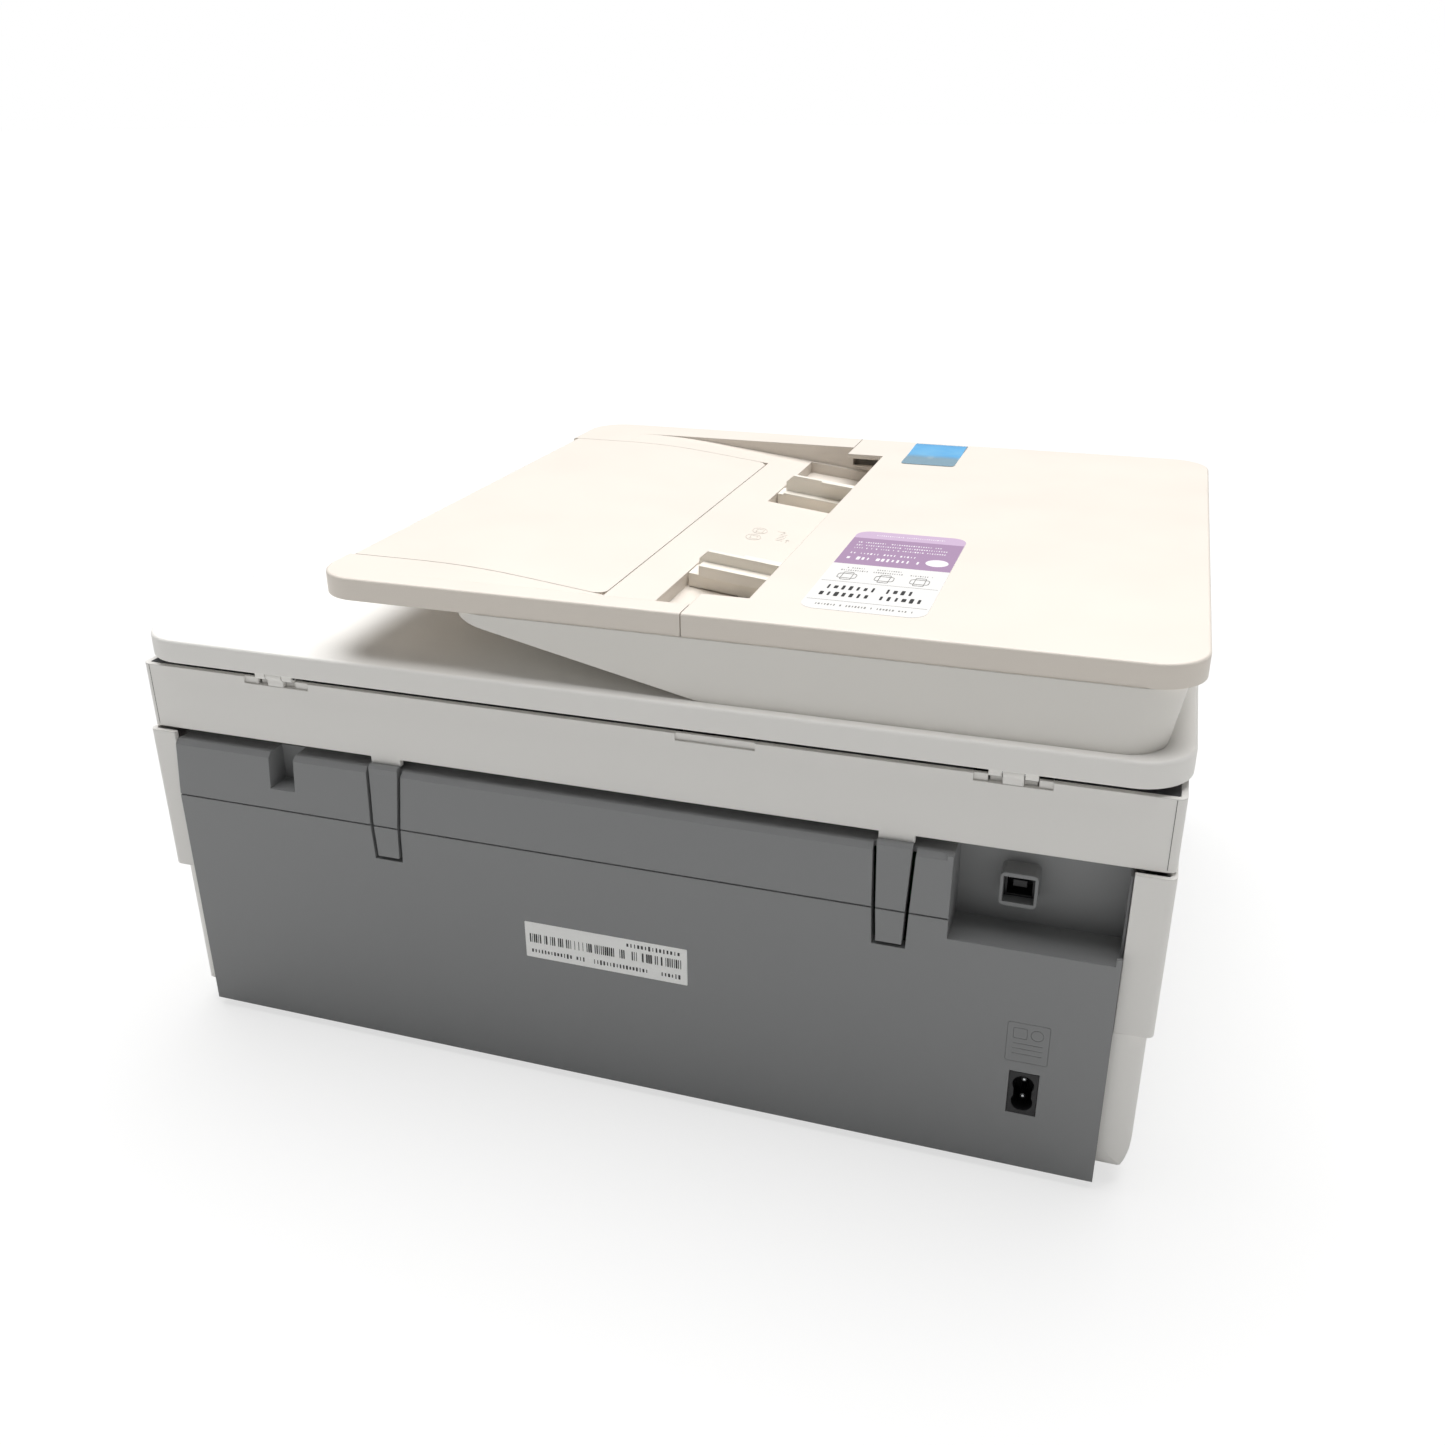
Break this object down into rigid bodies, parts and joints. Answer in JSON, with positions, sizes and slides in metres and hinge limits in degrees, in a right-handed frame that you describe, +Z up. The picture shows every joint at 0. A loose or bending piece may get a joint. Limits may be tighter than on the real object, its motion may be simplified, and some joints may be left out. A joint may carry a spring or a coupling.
{
  "type": "inkjet printer",
  "caption": "All-in-one inkjet printer with a document feeder, hinged scanner lid, front paper tray, ink door and tilting control panel.",
  "frame": {"origin": "on the surface it stands on, under the middle of its box", "axes": "+X to the right of its user, +Y to its back, +Z up"},
  "size_m": [0.463, 0.383, 0.233],
  "materials": {
    "white_shell": "fine moulded texture",
    "cream_shell": "fine moulded texture",
    "gray_shell": "fine moulded texture",
    "dark_plastic": "satin",
    "black_plastic": "satin",
    "guide_plastic": "satin",
    "gloss_dark": "polished",
    "button_plastic": "satin",
    "cartridge_plastic": "satin",
    "gear_plastic": "natural acetal",
    "foot_rubber": "matt",
    "belt_rubber": "matt",
    "roller_rubber": "ground",
    "white_foam": "smooth film over foam",
    "board": "solder resist",
    "plated_steel": "zinc plated",
    "brass": "turned",
    "clear_glass": "float glass",
    "display_glass": "polished"
  },
  "bodies": {
    "base": {"base_tray": "white_shell", "rear_cover": "gray_shell", "side_panel_left": "white_shell", "side_panel_right": "white_shell", "front_frame": "white_shell", "foot_1": "foot_rubber", "foot_2": "foot_rubber", "foot_3": "foot_rubber", "foot_4": "foot_rubber", "main_board": "board", "usb_port": "plated_steel", "mains_inlet": "black_plastic", "power_supply": "black_plastic", "scanner_tub": "white_shell", "scanner_deck": "dark_plastic", "flatbed_glass": "clear_glass", "strip_glass": "clear_glass", "scan_rail": "plated_steel", "lid_hinge_left": "dark_plastic", "lid_hinge_right": "dark_plastic", "steel_chassis": "plated_steel", "carriage_rod": "plated_steel", "platen": "black_plastic", "timing_belt": "belt_rubber", "carriage_motor": "plated_steel", "feed_motor": "plated_steel"},
    "lid": {"lid_plate": "white_shell", "lid_pad": "white_foam", "lid_pins": "plated_steel", "adf_base": "white_shell", "adf_tray": "cream_shell"},
    "feeder_cover": {"adf_cover": "cream_shell", "cover_rod": "plated_steel"},
    "flap": {"tray_flap": "cream_shell"},
    "rear_guide": {"guide_rear": "guide_plastic"},
    "front_guide": {"guide_front": "guide_plastic"},
    "guide_gear": {"guide_pinion": "gear_plastic"},
    "pick": {"pick_roller": "roller_rubber"},
    "feeder": {"feeder_roller": "roller_rubber"},
    "scanner_bar": {"scan_bar": "black_plastic"},
    "print_carriage": {"carriage": "dark_plastic", "colour_cartridge": "cartridge_plastic", "black_cartridge": "cartridge_plastic"},
    "drive_pulley": {"motor_pulley": "gear_plastic"},
    "return_pulley": {"idler_pulley": "gear_plastic"},
    "feed": {"feed_roller": "roller_rubber"},
    "idler": {"idler_gear": "gear_plastic"},
    "eject": {"eject_roller": "roller_rubber"},
    "pinion": {"motor_pinion": "brass"},
    "sled": {"service_sled": "dark_plastic"},
    "paper_drawer": {"paper_tray": "dark_plastic", "output_tray": "dark_plastic"},
    "paper_width": {"width_guide": "dark_plastic"},
    "paper_length": {"length_guide": "dark_plastic"},
    "door": {"ink_door": "gloss_dark"},
    "panel": {"control_panel": "gloss_dark", "display": "display_glass"},
    "power": {"power_button": "button_plastic"},
    "start": {"start_button": "button_plastic"},
    "stop": {"stop_button": "button_plastic"}
  },
  "joints": [
    {"name": "lid_hinge", "type": "hinge", "parent": "base", "child": "lid", "pos_m": [0, 0.184, 0.184], "axis": [-1, 0, 0], "range_deg": [0, 80]},
    {"name": "feeder_cover_hinge", "type": "hinge", "parent": "lid", "child": "feeder_cover", "pos_m": [-0.2272, 0, 0.2252], "axis": [0, -1, 0], "range_deg": [0, 60]},
    {"name": "tray_flap_hinge", "type": "hinge", "parent": "lid", "child": "flap", "pos_m": [0.1322, 0, 0.2315], "axis": [0, 1, 0], "range_deg": [0, 160]},
    {"name": "rear_guide_slide", "type": "slide", "parent": "lid", "child": "rear_guide", "axis": [0, 1, 0], "range_m": [-0.012, 0.036]},
    {"name": "front_guide_slide", "type": "slide", "parent": "lid", "child": "front_guide", "axis": [0, -1, 0], "range_m": [-0.012, 0.036]},
    {"name": "guide_gear_turn", "type": "hinge", "parent": "lid", "child": "guide_gear", "pos_m": [-0.044, 0.0245, 0.205], "axis": [0, 0, 1], "range_deg": [-116, 346]},
    {"name": "pick_roller_turn", "type": "hinge", "parent": "lid", "child": "pick", "pos_m": [-0.1045, 0, 0.212], "axis": [0, 1, 0], "continuous": true},
    {"name": "feeder_roller_turn", "type": "hinge", "parent": "lid", "child": "feeder", "pos_m": [-0.1285, 0, 0.212], "axis": [0, 1, 0], "continuous": true},
    {"name": "scan_bar_travel", "type": "slide", "parent": "base", "child": "scanner_bar", "axis": [1, 0, 0], "range_m": [0, 0.318]},
    {"name": "carriage_travel", "type": "slide", "parent": "base", "child": "print_carriage", "axis": [-1, 0, 0], "range_m": [0, 0.31]},
    {"name": "drive_pulley_turn", "type": "hinge", "parent": "base", "child": "drive_pulley", "pos_m": [0.186, 0, 0.128], "axis": [0, 1, 0], "continuous": true},
    {"name": "return_pulley_turn", "type": "hinge", "parent": "base", "child": "return_pulley", "pos_m": [-0.186, 0, 0.128], "axis": [0, 1, 0], "continuous": true},
    {"name": "feed_roller_turn", "type": "hinge", "parent": "base", "child": "feed", "pos_m": [0, 0.045, 0.094], "axis": [1, 0, 0], "continuous": true},
    {"name": "idler_gear_turn", "type": "hinge", "parent": "base", "child": "idler", "pos_m": [0, 0.005, 0.094], "axis": [1, 0, 0], "continuous": true},
    {"name": "eject_roller_turn", "type": "hinge", "parent": "base", "child": "eject", "pos_m": [0, -0.035, 0.094], "axis": [1, 0, 0], "continuous": true},
    {"name": "motor_pinion_turn", "type": "hinge", "parent": "base", "child": "pinion", "pos_m": [0, 0.045, 0.068], "axis": [1, 0, 0], "continuous": true},
    {"name": "service_sled_travel", "type": "slide", "parent": "base", "child": "sled", "axis": [0, 1, 0], "range_m": [-0.004, 0.004]},
    {"name": "paper_tray_slide", "type": "slide", "parent": "base", "child": "paper_drawer", "axis": [0, -1, 0], "range_m": [0, 0.18]},
    {"name": "width_guide_slide", "type": "slide", "parent": "paper_drawer", "child": "paper_width", "axis": [-1, 0, 0], "range_m": [0, 0.03]},
    {"name": "length_guide_slide", "type": "slide", "parent": "paper_drawer", "child": "paper_length", "axis": [0, 1, 0], "range_m": [0, 0.08]},
    {"name": "ink_door_hinge", "type": "hinge", "parent": "base", "child": "door", "pos_m": [0, -0.1895, 0.088], "axis": [1, 0, 0], "range_deg": [0, 85]},
    {"name": "control_panel_tilt", "type": "hinge", "parent": "base", "child": "panel", "pos_m": [0, -0.1545, 0.1775], "axis": [-1, 0, 0], "range_deg": [0, 30]},
    {"name": "power_button_press", "type": "slide", "parent": "panel", "child": "power", "axis": [0, 0.7148, -0.6993], "range_m": [0, 0.0008], "stiffness_N_per_m": 350, "springref_m": -0.001},
    {"name": "start_button_press", "type": "slide", "parent": "panel", "child": "start", "axis": [0, 0.7148, -0.6993], "range_m": [0, 0.0008], "stiffness_N_per_m": 350, "springref_m": -0.001},
    {"name": "stop_button_press", "type": "slide", "parent": "panel", "child": "stop", "axis": [0, 0.7148, -0.6993], "range_m": [0, 0.0008], "stiffness_N_per_m": 350, "springref_m": -0.001}
  ],
  "couplings": [
    {"joint": "front_guide_slide", "follows": "rear_guide_slide", "ratio": 1},
    {"joint": "guide_gear_turn", "follows": "rear_guide_slide", "rad_per_m": 166.67},
    {"joint": "feeder_roller_turn", "follows": "pick_roller_turn", "ratio": -1},
    {"joint": "drive_pulley_turn", "follows": "carriage_travel", "rad_per_m": 156.25},
    {"joint": "return_pulley_turn", "follows": "carriage_travel", "rad_per_m": 156.25},
    {"joint": "idler_gear_turn", "follows": "feed_roller_turn", "ratio": -1},
    {"joint": "eject_roller_turn", "follows": "feed_roller_turn", "ratio": 1},
    {"joint": "motor_pinion_turn", "follows": "feed_roller_turn", "ratio": -3.3333}
  ]
}
